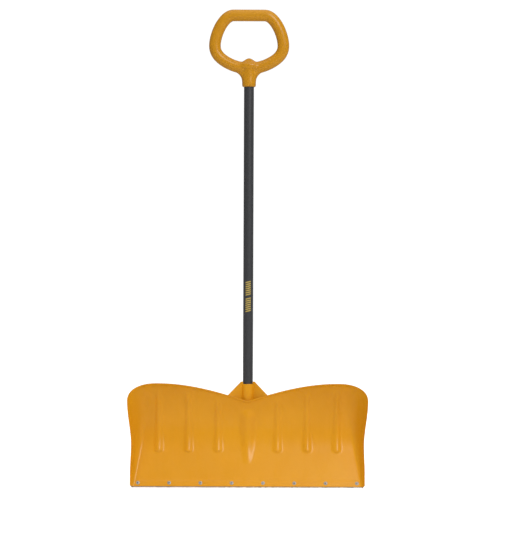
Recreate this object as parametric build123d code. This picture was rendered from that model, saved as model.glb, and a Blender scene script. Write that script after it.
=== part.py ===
from build123d import *
from math import cos, hypot, pi, radians, sin, sqrt, tan
import os

# Snow pusher: a moulded plastic blade with a riveted wear strip, a steel handle tube
# and a moulded loop grip. Millimetres. +Z runs up the handle and the hollow of the
# blade faces -Y. While the pieces are made, the handle's axis is the Z axis and the
# ground is z = 0. At the end everything moves in Y, so that the origin is the middle
# of the whole shovel's footprint box, on the ground.

# ---- driving dimensions ----

# Blade, from the front
blade_width = 609.6        # across the widest point
widest_height = 220.0      # where the widest point is
waist_inset = 9.2          # each side is this much narrower at the waist
waist_height = 105.0
lip_inset = 7.8            # each side is this much narrower along the lip
lip_side_height = 40.0     # straight part of the side above the lip
lip_corner_radius = 5.0
peak_height = 264.0        # the top edge's two high points
corner_run = 75.5          # from a high point out to the side
corner_fullness = 0.74     # 0.707 is a true ellipse
notch_height = 217.0       # the low point in the middle of the top edge
notch_slope_end = 0.30     # share of the way to a high point that the slope runs
strip_reveal = 4.0         # the plastic stops this far above the ground

# Blade, from the side
pan_wall = 3.2
flat_height = 88.0         # the pan is flat up to here, then curved
flat_angle = 24.7          # degrees from the handle's axis
pan_radius = 157.0
pan_setback = 13.0         # the deepest line of the pan, ahead of the handle's axis

# Side wings
wing_foot_width = 9.0      # from the fold to the side, at the ground
wing_spread = 0.19         # extra width for each mm of height
wing_foot_reach = 6.0      # how far the wing stands ahead of the pan
wing_reach = 44.0
wing_reach_height = 155.0  # where it reaches furthest
wing_fold = 0.5            # share of the wing that bends, the rest is straight

# Raised rim along the top and the sides
rim_rise = 1.5
rim_width = 4.5

# Raised ribs
ribs_per_side = 3
rib_pitch = 75.8
rib_top_rise = 2.0
rib_toe_rise = 5.5
rib_top_width = 18.0
rib_toe_width = 30.0
rib_toe_height = 86.0      # lowest point of the ribs
rib_toe_length = 14.0      # the rounded end
rib_top_gap = 8.0          # below the top edge
rib_fade = 28.0            # the ribs rise to full height over this length

# Bulge over the socket's nose
bulge_rise = 8.0
bulge_width = 48.0
bulge_foot_width = 22.0
bulge_crest = 172.0
bulge_top = 196.0
bulge_foot = 57.0

# Tube socket behind the pan
socket_wall = 5.0
socket_foot = 78.0
socket_floor = 4.0
socket_mouth = 260.0
socket_lip_round = 1.2
web_wall = 3.0
web_top = 266.0            # beside the tube
web_inset = 16.8           # from the axis to where the web's top edge starts down
web_foot = 110.0
web_root = (13.0, 8.5)     # sideways from the axis, and ahead of it
web_tip = (52.0, 37.5)

# Handle tube
tube_od = 25.6
tube_wall = 1.1
tube_length = 997.0
tube_clearance = 0.15      # all round, in both sockets
tube_end_gap = 0.3         # between the tube's end and the socket's floor

# Plug in the tube's lower end
plug_length = 66.0
plug_clearance = 0.1
plug_hole = 6.0
plug_chamfer = 1.0

# Cross bolt
bolt_height = 118.0
bolt_size = 6.0
bolt_length = 55.0
bolt_clearance = 0.2
bolt_chamfer = 0.8
bolt_head_flats = 10.0
bolt_head_height = 4.0
nut_flats = 10.0
nut_height = 6.0
nut_clearance = 0.02
washer_od = 12.0
washer_wall = 1.6
boss_od = 16.0
boss_reach = 21.0          # from the axis to the boss's face

# Wear strip
strip_wall = 1.5
strip_height = 24.0        # measured up the slope
strip_end_gap = 3.0        # from the lip's end
strip_gap = 0.05           # between strip and plastic
strip_corner = 3.0

# Rivets
rivet_count = 8
rivet_edge = 19.6          # from the lip's end
rivet_height = 12.2
rivet_shank = 4.8
rivet_head = 9.4
rivet_head_rise = 1.3
rivet_head_edge = 0.3      # the head's straight rim
rivet_crown = (0.62, 0.8)  # a point on the dome, as shares of its radius and rise
rivet_tail = 6.6
rivet_tail_length = 3.4
rivet_tail_foot = 0.72     # its end, as a share of its radius
rivet_tail_below = 0.35    # share of its length below the widest part
rivet_tail_above = 0.25    # and above it
rivet_tail_neck = 0.1      # wider than the shank, against the strip
rivet_clearance = 0.05
mandrel_size = 2.6
mandrel_head = 4.2
mandrel_head_length = 1.6
mandrel_sink = 0.5         # below the crown of the rivet's head
mandrel_foot = (0.7, 0.6)  # its head's taper, as shares of radius and length
mandrel_break = (0.3, 0.2)  # the broken tip's taper, in and down

# Grip
grip_bar_width = 30.0      # section, across the loop
grip_bar_depth = 26.0      # section, front to back
grip_bar_height = 184.0    # centreline of the top bar above the socket's mouth
grip_half_bar = 40.0       # straight part of the top bar, each way
grip_half_width = 87.9     # centreline at the loop's widest
grip_wide_height = 106.0   # where the loop is widest
grip_arm_half = 56.2       # where the heel of the loop turns into the arm
grip_arm_height = 62.7
grip_arm_slope = 29.4      # degrees
grip_root_height = 48.0    # where the two arms meet
grip_shoulder_pull = (0.53, 0.38)  # how full the curve is, as shares of its run
grip_heel_pull = 0.49
grip_arm_pull = 0.35
grip_socket_wall = 5.0
grip_bore_depth = 58.0
grip_boss_wall = 4.0
grip_cap = 15.8            # solid above the bore, up to the dome's top
grip_dome_height = 13.0
grip_lip_round = 1.5
flare_foot = 10.0          # the socket widens into the arms from here
flare_height = 31.0
flare_spread = 25.0        # extra half width at its top
flare_thinning = 7.0       # less half depth at its top
flare_curve = 2.2          # how late it widens
flare_thin_curve = 2.0
flare_steps = 7

# Grip screw
screw_height = 25.0        # above the grip's mouth
screw_size = 4.2
screw_length = 16.0
screw_head = 8.4
screw_head_height = 2.8
screw_head_round = 1.2
screw_head_gap = 0.02      # under the head
screw_tip_chamfer = 1.4
screw_clearance = 0.05
screw_recess = 4.4         # the cross in its head
screw_recess_width = 1.1
screw_recess_depth = 1.6
screw_seat_depth = 1.0     # below the socket's side
screw_seat_clearance = 0.4

# How finely the pan's curved faces are sampled
side_step = 7.0
height_step = 7.0
face_margin = 10.0         # sampled this far past the outline
face_tolerance = 0.05

# Cutting tools reach past what they cut
hole_reach = 60.0
pan_reach = 400.0

# ---- sizes that follow ----

half_width = blade_width / 2
lip_half = half_width - lip_inset
peak_side = half_width - corner_run
top_rise = peak_height - notch_height
pan_centre_height = flat_height + pan_radius * sin(radians(flat_angle))
flat_top_reach = pan_setback + pan_radius * (1 - cos(radians(flat_angle)))
lip_reach = flat_top_reach + flat_height * tan(radians(flat_angle))

tube_radius = tube_od / 2
bore_radius = tube_radius + tube_clearance
socket_radius = bore_radius + socket_wall
tube_foot = socket_foot + socket_floor + tube_end_gap
tube_top = tube_foot + tube_length
grip_foot = tube_top + tube_end_gap - grip_bore_depth


# ---- helpers ----

def smooth(value):
    """Ease from 0 to 1 as value goes from 0 to 1."""
    value = min(max(value, 0.0), 1.0)
    return value * value * (3 - 2 * value)


def rod(radius, start, end, axis):
    """A cylinder along X, Y or Z through the origin, from start to end."""
    turn = {"X": Rot(0, 90, 0), "Y": Rot(-90, 0, 0), "Z": Rot(0, 0, 0)}[axis]
    return turn * Pos(0, 0, start) * extrude(Circle(radius), end - start)


def turned(points):
    """A lathe-turned solid from (radius, height) points."""
    profile = make_face(Polyline([*points, points[0]]))
    return revolve(Plane.XZ * profile, Axis.Z)


# ---- the pan's face: how far it stands ahead of the handle's axis ----

def section_reach(z):
    """The pan in the middle: a flat that runs into one arc."""
    if z < flat_height:
        return lip_reach - z * tan(radians(flat_angle))
    rise = (z - pan_centre_height) / pan_radius
    return pan_setback + pan_radius * (1 - sqrt(1 - rise * rise))


def top_edge(x):
    """Height of the blade's top edge, out to its high points."""
    return notch_height + top_rise * sin(pi / 2 * min(abs(x) / peak_side, 1.0))


def wing(x, z):
    width = wing_foot_width + wing_spread * max(z, 0)
    across = (abs(x) - lip_half + width) / width
    if across <= 0:
        return 0.0
    swell = sin(pi / 2 * min(max(z / wing_reach_height, 0), 2))
    reach = wing_foot_reach + (wing_reach - wing_foot_reach) * swell
    scale = 1 - wing_fold / 2
    if across < wing_fold:
        return reach * across * across / (2 * wing_fold * scale)
    return reach * (across - wing_fold / 2) / scale


def ribs(x, z):
    below_top = top_edge(x) - rib_top_gap - z
    above_toe = z - rib_toe_height
    if below_top <= 0 or above_toe <= 0:
        return 0.0
    along = below_top / (top_edge(x) - rib_top_gap - rib_toe_height)
    rise = rib_top_rise + (rib_toe_rise - rib_top_rise) * along
    rise *= smooth(below_top / rib_fade)
    if above_toe < rib_toe_length:
        rise *= sqrt(1 - (1 - above_toe / rib_toe_length) ** 2)
    width = rib_top_width + (rib_toe_width - rib_top_width) * along
    number = min(max(round(abs(x) / rib_pitch), 1), ribs_per_side)
    across = (abs(x) - number * rib_pitch) / (width / 2)
    return rise * (1 - across * across) ** 2 if abs(across) < 1 else 0.0


def bulge(x, z):
    if z <= bulge_foot or z >= bulge_top:
        return 0.0
    if z > bulge_crest:
        rise = sqrt(1 - ((z - bulge_crest) / (bulge_top - bulge_crest)) ** 2)
        width = bulge_width
    else:
        fall = (bulge_crest - z) / (bulge_crest - bulge_foot)
        rise = cos(pi / 2 * fall)
        width = bulge_width + (bulge_foot_width - bulge_width) * fall * fall
    across = x / (width / 2)
    return bulge_rise * rise * (1 - across * across) ** 2 if abs(across) < 1 else 0.0


def sheet_reach(x, z):
    return section_reach(z) + wing(x, z) + ribs(x, z)


def front_reach(x, z):
    return sheet_reach(x, z) + bulge(x, z)


def back_reach(x, z):
    """The same sheet, one wall thickness behind its face."""
    step = 0.5
    slope_x = (sheet_reach(x + step, z) - sheet_reach(x - step, z)) / (2 * step)
    slope_z = (sheet_reach(x, z + step) - sheet_reach(x, z - step)) / (2 * step)
    return sheet_reach(x, z) - pan_wall * sqrt(1 + slope_x**2 + slope_z**2)


def pan_face(reach):
    """The pan's front or back as one smooth face, wider than the blade all round."""
    span = 2 * (half_width + face_margin)
    height = peak_height + 2 * face_margin
    columns = 2 * round(span / 2 / side_step)
    rows = round(height / height_step)
    grid = []
    for row in range(rows + 1):
        z = height * row / rows - face_margin
        line = []
        for column in range(columns + 1):
            x = span * (column / columns - 0.5)
            line.append((x, -reach(x, z), z))
        grid.append(line)
    return Face.make_surface_from_array_of_points(grid, tol=face_tolerance)


# ---- blade ----

def blade_outline(inset=0.0, foot=strip_reveal):
    """The blade's outline as a flat face, drawn in by inset: x across, y up."""
    notch_slope = top_rise * pi / 2 / peak_side
    notch = (0, notch_height - inset * hypot(1, notch_slope))
    slope_x = notch_slope_end * peak_side
    slope_point = (slope_x, top_edge(slope_x) - inset)
    peak = (peak_side, peak_height - inset)
    corner_drop = peak_height - widest_height
    corner_point = (
        peak_side + (corner_run - inset) * corner_fullness,
        widest_height + (corner_drop - inset) * corner_fullness,
    )
    widest = (half_width - inset, widest_height)
    waist = (half_width - waist_inset - inset, waist_height)
    side_foot = (lip_half - inset, lip_side_height)
    lip_end = (lip_half - inset, foot)
    half = [
        Spline([notch, slope_point, peak], tangents=[(1, notch_slope), (1, 0)]),
        Spline([peak, corner_point, widest], tangents=[(1, 0), (0, -1)]),
        Spline([widest, waist], tangents=[(0, -1), (0, -1)]),
        Spline([waist, side_foot], tangents=[(0, -1), (0, -1)]),
        Line(side_foot, lip_end),
        Line(lip_end, (0, foot)),
    ]
    edges = half + [mirror(edge, Plane.YZ) for edge in half]
    face = make_face(edges)
    corners = face.vertices().group_by(Axis.Y)[0].filter_by(lambda v: abs(v.X) > 1)
    return fillet(corners, lip_corner_radius).face()


def outline_prism(face):
    return extrude(Plane.XZ * face, pan_reach, both=True)


def web(side):
    """A plate from the socket's side forward to the pan's back."""
    run = web_tip[0] - web_root[0]
    reach = web_tip[1] - web_root[1]
    length = hypot(run, reach)
    middle = Vector(
        side * (web_root[0] + web_tip[0]) / 2, -(web_root[1] + web_tip[1]) / 2
    )
    along = Vector(side * run, -reach)
    plan = Plane(middle, x_dir=along, z_dir=(0, 0, 1)) * Rectangle(length, web_wall)
    plate = Pos(0, 0, web_foot) * extrude(plan, web_top - web_foot)
    far = 2 * web_tip[0]
    keep = make_face(
        Polyline(
            [
                (0, web_foot - 1),
                (0, web_top),
                (side * web_inset, web_top),
                (side * (web_inset + far), web_top - far),
                (side * (web_inset + far), web_foot - 1),
                (0, web_foot - 1),
            ]
        )
    )
    return plate & outline_prism(keep)


def lip_plane():
    """On the pan's flat front at the ground: y runs up the slope, z points forward."""
    angle = radians(flat_angle)
    return Plane(
        (0, -lip_reach, 0), x_dir=(1, 0, 0), z_dir=(0, -cos(angle), sin(angle))
    )


def rivet_places():
    spacing = 2 * (lip_half - rivet_edge) / (rivet_count - 1)
    up_slope = rivet_height / cos(radians(flat_angle))
    return [
        lip_plane() * Pos(rivet_edge - lip_half + spacing * number, up_slope, 0)
        for number in range(rivet_count)
    ]


def at_bolt(shape):
    return Pos(0, 0, bolt_height) * shape


def bolt_hole():
    radius = bolt_size / 2 + bolt_clearance
    return at_bolt(rod(radius, -hole_reach, hole_reach, "X"))


def rivet_holes():
    hole = rod(rivet_shank / 2 + rivet_clearance, -hole_reach, hole_reach, "Z")
    return [place * hole for place in rivet_places()]


def make_blade():
    face = pan_face(front_reach)
    behind_face = extrude(face, pan_reach, dir=(0, 1, 0))
    behind_rim = Pos(0, -rim_rise, 0) * behind_face
    ahead_of_face = extrude(face, pan_reach, dir=(0, -1, 0))
    behind_back = extrude(pan_face(back_reach), 1.5 * pan_reach, dir=(0, 1, 0))

    shell = behind_rim & outline_prism(blade_outline())
    shell -= ahead_of_face & outline_prism(blade_outline(rim_width, -rim_width))
    shell -= behind_back

    socket = rod(socket_radius, socket_foot, socket_mouth, "Z")
    mouth = socket.edges().sort_by(Axis.Z)[-1]
    socket = fillet(mouth, socket_lip_round)
    webs = [web(side) & behind_face for side in (-1, 1)]
    boss = at_bolt(rod(boss_od / 2, -boss_reach, boss_reach, "X"))
    blade = shell + socket + webs + boss

    blade -= rod(bore_radius, socket_foot + socket_floor, web_top + hole_reach, "Z")
    blade -= bolt_hole()
    blade -= rivet_holes()
    return blade


# ---- wear strip and rivets ----

def make_strip():
    front = -(pan_wall + strip_gap)
    length = 2 * (lip_half - strip_end_gap)
    plate = RectangleRounded(length, 2 * strip_height, strip_corner)
    bar = lip_plane() * Pos(0, 0, front - strip_wall) * extrude(plate, strip_wall)
    above_ground = Pos(0, 0, pan_reach / 2) * Box(2 * blade_width, pan_reach, pan_reach)
    return (bar & above_ground) - rivet_holes()


def rivet_stack():
    """Thickness that a rivet holds together."""
    return pan_wall + strip_gap + strip_wall


def make_rivet():
    """A set blind rivet, head up, with the mandrel's hole down its middle."""
    inner = mandrel_size / 2 + rivet_clearance
    shank = rivet_shank / 2
    head = rivet_head / 2
    back = -(rivet_stack() + rivet_clearance)
    tail = rivet_tail / 2
    foot = back - rivet_tail_length
    rim = Line((head, rivet_clearance), (head, rivet_head_edge))
    dome = ThreePointArc(
        (head, rivet_head_edge),
        (head * rivet_crown[0], rivet_head_rise * rivet_crown[1]),
        (inner, rivet_head_rise),
    )
    rest = Polyline(
        [
            (inner, rivet_head_rise),
            (inner, foot),
            (tail * rivet_tail_foot, foot),
            (tail, foot + rivet_tail_length * rivet_tail_below),
            (tail, back - rivet_tail_length * rivet_tail_above),
            (shank + rivet_tail_neck, back),
            (shank, back),
            (shank, rivet_clearance),
            (head, rivet_clearance),
        ]
    )
    profile = make_face([rim, dome, *rest.edges()])
    return revolve(Plane.XZ * profile, Axis.Z)


def make_mandrel():
    """What is left of the pulled mandrel: a pin with its head below the tail."""
    foot = -(rivet_stack() + rivet_clearance) - rivet_tail_length
    pin = mandrel_size / 2
    head = mandrel_head / 2
    top = rivet_head_rise - mandrel_sink
    return turned(
        [
            (0, foot - mandrel_head_length),
            (head * mandrel_foot[0], foot - mandrel_head_length),
            (head, foot - mandrel_head_length * mandrel_foot[1]),
            (head, foot - rivet_clearance),
            (pin, foot - rivet_clearance),
            (pin, top - mandrel_break[1]),
            (pin - mandrel_break[0], top),
            (0, top),
        ]
    )


# ---- handle ----

def make_tube():
    tube = rod(tube_radius, tube_foot, tube_top, "Z")
    tube -= rod(tube_radius - tube_wall, tube_foot - 1, tube_top + 1, "Z")
    tube -= bolt_hole()
    return tube - Pos(0, 0, grip_foot + screw_height) * screw_hole()


def make_plug():
    radius = tube_radius - tube_wall - plug_clearance
    plug = rod(radius, tube_foot, tube_foot + plug_length, "Z")
    rims = plug.edges().filter_by(GeomType.CIRCLE)
    plug = chamfer(rims, plug_chamfer)
    plug -= rod(plug_hole / 2, tube_foot - 1, tube_foot + plug_length + 1, "Z")
    return plug - bolt_hole()


# ---- cross bolt ----

def hexagon(flats, height):
    return extrude(RegularPolygon(flats / 2, 6, major_radius=False), height)


def make_bolt():
    """Its head is at -X."""
    under_head = -(boss_reach + washer_wall)
    shank = rod(bolt_size / 2, under_head, under_head + bolt_length, "X")
    tip = shank.edges().sort_by(Axis.X)[-1]
    shank = chamfer(tip, bolt_chamfer)
    head = hexagon(bolt_head_flats, bolt_head_height)
    head = Pos(under_head, 0, 0) * Rot(0, -90, 0) * head
    return at_bolt(shank + head)


def make_washers():
    ring = Circle(washer_od / 2) - Circle(bolt_size / 2 + bolt_clearance)
    washer = extrude(ring, washer_wall)
    return [
        at_bolt(Pos(side * boss_reach, 0, 0) * Rot(0, side * 90, 0) * washer)
        for side in (-1, 1)
    ]


def make_nut():
    nut = hexagon(nut_flats, nut_height)
    nut -= rod(bolt_size / 2 + nut_clearance, -1, nut_height + 1, "Z")
    return at_bolt(Pos(boss_reach + washer_wall, 0, 0) * Rot(0, 90, 0) * nut)


# ---- grip ----

def screw_hole():
    return rod(screw_size / 2 + screw_clearance, 0, hole_reach, "Y")


def screw_seat():
    """Distance from the axis to the flat that the screw's head sits on."""
    return bore_radius + grip_socket_wall - screw_seat_depth


def grip_centreline():
    """Half of the loop, from the top bar's middle down to where the arms meet."""
    bar_end = (grip_half_bar, grip_bar_height)
    widest = (grip_half_width, grip_wide_height)
    arm = (grip_arm_half, grip_arm_height)
    root = (0, grip_root_height)
    shoulder_run = grip_half_width - grip_half_bar
    shoulder_drop = grip_bar_height - grip_wide_height
    heel_drop = grip_wide_height - grip_arm_height
    along = (cos(radians(grip_arm_slope)), sin(radians(grip_arm_slope)))
    pull = grip_arm_pull * grip_arm_half
    return [
        Line((0, grip_bar_height), bar_end),
        Bezier(
            bar_end,
            (grip_half_bar + grip_shoulder_pull[0] * shoulder_run, grip_bar_height),
            (grip_half_width, grip_wide_height + grip_shoulder_pull[1] * shoulder_drop),
            widest,
        ),
        Bezier(
            widest,
            (grip_half_width, grip_wide_height - grip_heel_pull * heel_drop),
            (arm[0] + pull * along[0], arm[1] + pull * along[1]),
            arm,
        ),
        Bezier(
            arm,
            (arm[0] - pull * along[0], arm[1] - pull * along[1]),
            (pull, grip_root_height),
            root,
        ),
    ]


def flare_section(share):
    """An ellipse through the flare, share of the way up it."""
    radius = bore_radius + grip_socket_wall
    wide = radius + flare_spread * share**flare_curve
    deep = radius - flare_thinning * share**flare_thin_curve
    return Pos(0, 0, flare_foot + flare_height * share) * Ellipse(wide, deep)


def make_grip():
    section = Ellipse(grip_bar_depth / 2, grip_bar_width / 2)
    path = Plane.XZ * Curve(grip_centreline())
    start = Plane((0, 0, grip_bar_height), x_dir=(0, 1, 0), z_dir=(1, 0, 0))
    arm = sweep(start * section, path=Wire(path.edges()))
    loop = arm + mirror(arm, Plane.YZ)

    flare = loft([flare_section(step / flare_steps) for step in range(flare_steps + 1)])
    socket = rod(bore_radius + grip_socket_wall, 0, flare_foot, "Z")
    mouth = socket.edges().sort_by(Axis.Z)[0]
    socket = fillet(mouth, grip_lip_round)

    boss = bore_radius + grip_boss_wall
    dome_top = grip_bore_depth + grip_cap
    dome_foot = dome_top - grip_dome_height
    profile = make_face(
        [
            Line((0, flare_foot), (boss, flare_foot)),
            Line((boss, flare_foot), (boss, dome_foot)),
            Spline([(boss, dome_foot), (0, dome_top)], tangents=[(0, 1), (-1, 0)]),
            Line((0, dome_top), (0, flare_foot)),
        ]
    )
    core = revolve(Plane.XZ * profile, Axis.Z)
    grip = loop + flare + socket + core
    grip -= rod(bore_radius, -1, grip_bore_depth, "Z")
    seat = rod(screw_head / 2 + screw_seat_clearance, screw_seat(), hole_reach, "Y")
    grip -= Pos(0, 0, screw_height) * (screw_hole() + seat)
    return Pos(0, 0, grip_foot) * grip


def make_screw():
    under_head = screw_seat() + screw_head_gap
    crown = screw_seat() + screw_head_height
    head = rod(screw_head / 2, under_head, crown, "Y")
    rim = head.edges().sort_by(Axis.Y)[-1]
    head = fillet(rim, screw_head_round)
    shank = rod(screw_size / 2, under_head - screw_length, under_head, "Y")
    tip = shank.edges().sort_by(Axis.Y)[0]
    shank = chamfer(tip, screw_tip_chamfer)
    recess = Rectangle(screw_recess, screw_recess_width)
    recess += Rectangle(screw_recess_width, screw_recess)
    cross = extrude(Plane.XZ * recess, -2 * screw_recess_depth)
    cross = Pos(0, crown - screw_recess_depth, 0) * cross
    return Pos(0, 0, grip_foot + screw_height) * (head + shank - cross)


# ---- write the pieces ----

pieces = {
    "blade": [make_blade()],
    "wear_strip": [make_strip()],
    "strip_rivets": [place * make_rivet() for place in rivet_places()],
    "rivet_mandrels": [place * make_mandrel() for place in rivet_places()],
    "handle_tube": [make_tube()],
    "tube_plug": [make_plug()],
    "socket_bolt": [make_bolt()],
    "socket_washers": make_washers(),
    "socket_nut": [make_nut()],
    "grip": [make_grip()],
    "grip_screw": [make_screw()],
}

whole = Compound([solid for group in pieces.values() for item in group for solid in item.solids()])
to_middle = Pos(0, -whole.bounding_box().center().Y, 0)

os.makedirs("parts", exist_ok=True)
for name, group in pieces.items():
    solids = [to_middle * solid for item in group for solid in item.solids()]
    shape = solids[0] if len(solids) == 1 else Compound(solids)
    export_step(shape, f"parts/{name}.step")
    print(name, len(solids), "solids")
box = (to_middle * whole).bounding_box()
print("whole box", box.min, box.max)
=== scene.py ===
import math

import bmesh
import bpy
import numpy as np
from mathutils import Matrix, Vector, geometry
from mathutils.kdtree import KDTree


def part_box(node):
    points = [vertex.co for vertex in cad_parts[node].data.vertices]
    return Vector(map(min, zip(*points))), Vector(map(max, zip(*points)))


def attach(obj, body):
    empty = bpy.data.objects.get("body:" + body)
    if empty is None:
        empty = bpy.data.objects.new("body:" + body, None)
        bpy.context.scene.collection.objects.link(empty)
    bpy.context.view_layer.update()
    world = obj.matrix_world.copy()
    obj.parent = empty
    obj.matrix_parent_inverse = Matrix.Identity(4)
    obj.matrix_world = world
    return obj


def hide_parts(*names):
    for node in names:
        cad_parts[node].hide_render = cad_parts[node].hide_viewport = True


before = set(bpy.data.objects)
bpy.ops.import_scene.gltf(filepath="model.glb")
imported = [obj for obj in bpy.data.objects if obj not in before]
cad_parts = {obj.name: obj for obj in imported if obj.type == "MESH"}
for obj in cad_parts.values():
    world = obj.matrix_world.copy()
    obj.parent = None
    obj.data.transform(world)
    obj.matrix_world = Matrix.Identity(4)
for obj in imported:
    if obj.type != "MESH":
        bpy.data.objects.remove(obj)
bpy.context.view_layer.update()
print("frame loaded:", len(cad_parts), "CAD nodes")

mm = 0.001
tubeLow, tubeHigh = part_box("handle_tube")
axisY = (tubeLow.y + tubeHigh.y) / 2  # the handle's axis stands at x = 0
tubeRadius = (tubeHigh.x - tubeLow.x) / 2
nearMiss = 0.15 * mm          # the tube's clearance in both sockets
throughCut = 60 * mm          # a cutter this long clears any of the walls
openEnd = 400 * mm            # above the blade's socket


def smoothStep(value):
    value = np.clip(value, 0.0, 1.0)
    return value * value * (3 - 2 * value)


def newObject(name, verts, faces):
    mesh = bpy.data.meshes.new(name)
    mesh.from_pydata([tuple(v) for v in verts], [], [tuple(f) for f in faces])
    mesh.validate()
    made = bpy.data.objects.new(name, mesh)
    bpy.context.scene.collection.objects.link(made)
    return made


def tidyNormals(thing):
    shape = bmesh.new()
    shape.from_mesh(thing.data)
    bmesh.ops.recalc_face_normals(shape, faces=shape.faces)
    shape.to_mesh(thing.data)
    shape.free()


def turnedSolid(name, profile, segments=96):
    # profile: (radius, height) from the foot on the axis to the top on the axis
    rings = profile[1:-1]
    verts = [(0, 0, profile[0][1])]
    for radius, height in rings:
        for step in range(segments):
            angle = 2 * math.pi * step / segments
            verts.append((radius * math.cos(angle), radius * math.sin(angle), height))
    verts.append((0, 0, profile[-1][1]))
    faces = []
    for step in range(segments):
        after = (step + 1) % segments
        faces.append((0, 1 + after, 1 + step))
        for ring in range(len(rings) - 1):
            low = 1 + ring * segments
            high = low + segments
            faces.append((low + step, low + after, high + after, high + step))
        last = 1 + (len(rings) - 1) * segments
        faces.append((last + step, last + after, len(verts) - 1))
    return newObject(name, verts, faces)


def roundedRod(name, radius, low, high, rounding, segments=96):
    # a rod with rounded rims
    profile = [(0, low)]
    for step in range(5):
        angle = math.pi / 2 * step / 4
        reach = radius - rounding + rounding * math.sin(angle)
        profile.append((reach, low + rounding - rounding * math.cos(angle)))
    for step in range(5):
        angle = math.pi / 2 * step / 4
        reach = radius - rounding + rounding * math.cos(angle)
        profile.append((reach, high - rounding + rounding * math.sin(angle)))
    profile.append((0, high))
    return turnedSolid(name, profile, segments)


def plainRod(name, radius, low, high, segments=64):
    return turnedSolid(name, [(0, low), (radius, low), (radius, high), (0, high)], segments)


def prism(name, outline, low, high, place):
    # outline in the plane of place, from low to high along its z
    count = len(outline)
    verts = [place @ Vector((x, y, low)) for x, y in outline]
    verts += [place @ Vector((x, y, high)) for x, y in outline]
    faces = [tuple(range(count))[::-1], tuple(range(count, 2 * count))]
    for i in range(count):
        j = (i + 1) % count
        faces.append((i, j, count + j, count + i))
    made = newObject(name, verts, faces)
    tidyNormals(made)
    return made


def bake(thing):
    # the mesh as its modifiers leave it
    bpy.context.view_layer.update()
    seen = bpy.context.evaluated_depsgraph_get()
    mesh = bpy.data.meshes.new_from_object(thing.evaluated_get(seen))
    thing.modifiers.clear()
    old = thing.data
    thing.data = mesh
    bpy.data.meshes.remove(old)
    mesh.name = thing.name


def combine(thing, other, operation):
    cut = thing.modifiers.new("combine", "BOOLEAN")
    cut.operation = operation
    cut.solver = "MANIFOLD"
    cut.object = other
    bake(thing)
    bpy.data.objects.remove(other)


def finishMesh(thing, sharpAngle):
    thing.data.shade_smooth()
    thing.data.set_sharp_from_angle(angle=math.radians(sharpAngle))


def startMaterial(name):
    material = bpy.data.materials.new(name)
    material.use_nodes = True
    return material, material.node_tree.nodes["Principled BSDF"]


def addNode(material, kind, **values):
    node = material.node_tree.nodes.new(kind)
    for key, value in values.items():
        if key in node.inputs:
            node.inputs[key].default_value = value
        else:
            setattr(node, key, value)
    return node


def link(material, start, end):
    material.node_tree.links.new(start, end)


def objectPoint(material, stretch=(1, 1, 1)):
    place = addNode(material, "ShaderNodeTexCoord").outputs["Object"]
    mapping = addNode(material, "ShaderNodeMapping", Scale=stretch)
    link(material, place, mapping.inputs["Vector"])
    return mapping.outputs["Vector"]


def noise(material, scale, detail=3.0, stretch=(1, 1, 1)):
    node = addNode(material, "ShaderNodeTexNoise", Scale=scale, Detail=detail)
    link(material, objectPoint(material, stretch), node.inputs["Vector"])
    return node.outputs["Fac"]


def spread(material, source, low, high, start=0.3, end=0.7):
    node = addNode(material, "ShaderNodeMapRange")
    for socket, value in zip(("From Min", "From Max", "To Min", "To Max"), (start, end, low, high)):
        node.inputs[socket].default_value = value
    link(material, source, node.inputs["Value"])
    return node.outputs["Result"]


def blendColours(material, source, first, second):
    node = addNode(material, "ShaderNodeMix", data_type="RGBA")
    node.inputs[6].default_value = (*first, 1)
    node.inputs[7].default_value = (*second, 1)
    link(material, source, node.inputs["Factor"])
    return node.outputs[2]


def addMaths(material, operation, first, second):
    node = addNode(material, "ShaderNodeMath", operation=operation)
    for socket, value in zip(node.inputs, (first, second)):
        if isinstance(value, (int, float)):
            socket.default_value = value
        else:
            link(material, value, socket)
    return node.outputs[0]


def bump(material, heights, strength, distance, below=None):
    node = addNode(material, "ShaderNodeBump", Strength=strength, Distance=distance)
    link(material, heights, node.inputs["Height"])
    if below is not None:
        link(material, below, node.inputs["Normal"])
    return node.outputs["Normal"]


yellowPlastic = {
    "colour": (0.700, 0.300, 0.0085),
    "paler": (0.740, 0.330, 0.0110),
    "roughness": (0.24, 0.32),
    "specular": 0.24,
    "gripPaintedShade": 0.77,        # the grip's copy is darker than the blade's: painted shade for the dimmer light on the grip
    "grainScale": 900.0,      # moulded texture, about a millimetre across
    "grainHeight": 0.006 * mm,
    "flowScale": 26.0,        # long soft marks where the plastic ran
    "flowStretch": (1.0, 1.0, 0.22),
    "flowHeight": 0.15 * mm,
    "cloudScale": 7.0,        # slow changes of shade over the moulding
    "ior": 1.49,
}


def makeYellowPlastic(name, shade):
    look = yellowPlastic
    material, shader = startMaterial(name)
    cloud = noise(material, look["cloudScale"], 2.0)
    flow = noise(material, look["flowScale"], 3.0, look["flowStretch"])
    grain = noise(material, look["grainScale"], 2.0)
    # a shade below 1 darkens both colours; for the grip this is painted shade
    main, paler = (tuple(shade * part for part in look[key]) for key in ("colour", "paler"))
    colour = blendColours(material, spread(material, cloud, 0, 1), main, paler)
    link(material, colour, shader.inputs["Base Color"])
    low, high = look["roughness"]
    rough = spread(material, addMaths(material, "ADD", flow, grain), low, high, 0.7, 1.3)
    link(material, rough, shader.inputs["Roughness"])
    wavy = bump(material, flow, 0.35, look["flowHeight"])
    link(material, bump(material, grain, 0.5, look["grainHeight"], wavy), shader.inputs["Normal"])
    shader.inputs["Specular IOR Level"].default_value = look["specular"]
    shader.inputs["IOR"].default_value = look["ior"]
    return material


powderCoat = {
    "colour": (0.030, 0.031, 0.034),
    "paler": (0.042, 0.043, 0.047),
    "roughness": (0.34, 0.46),
    "peelScale": 520.0,
    "peelHeight": 0.06 * mm,
    "speckScale": 2600.0,
    "specular": 0.45,
}


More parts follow.
